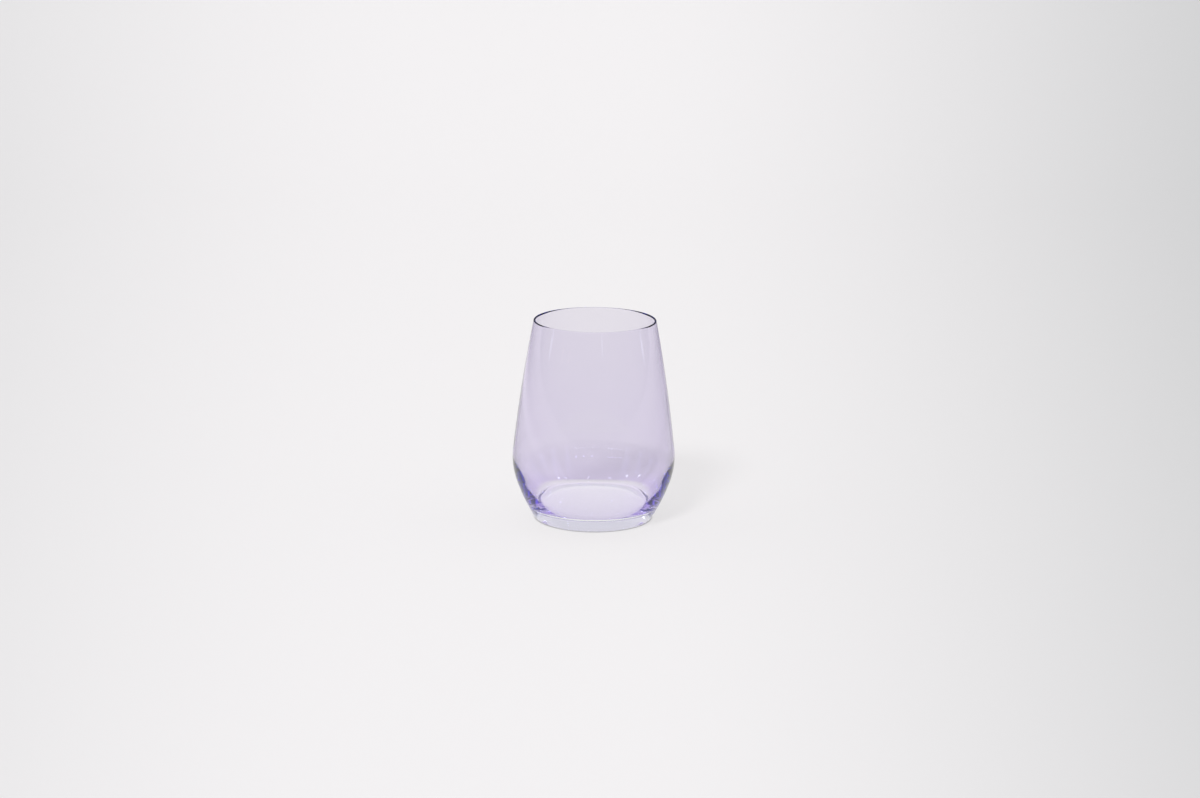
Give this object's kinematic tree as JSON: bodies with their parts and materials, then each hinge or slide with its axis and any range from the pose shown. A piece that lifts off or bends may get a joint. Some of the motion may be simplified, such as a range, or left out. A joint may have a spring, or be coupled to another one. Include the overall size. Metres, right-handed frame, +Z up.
{
  "type": "stemless wine glass",
  "caption": "Stemless wine glass: a thin lilac tulip bowl, widest low down and drawn in at the rim, fused flush to a thick clear base that is its floor and stands on a flat ring.",
  "frame": {"origin": "centre of the plane that the glass stands on, under the middle of the base", "axes": "+Z up along the axis of the glass, from the base to the rim; X and Y are free, because the glass is round"},
  "size_m": [0.092, 0.092, 0.114],
  "materials": {
    "lilac_glass": "blown glass tinted lilac all through, smooth and fire-polished",
    "clear_glass": "clear glass, smooth and polished"
  },
  "bodies": {
    "root": {"lilac_bowl": "lilac_glass", "clear_base": "clear_glass"}
  },
  "joints": []
}
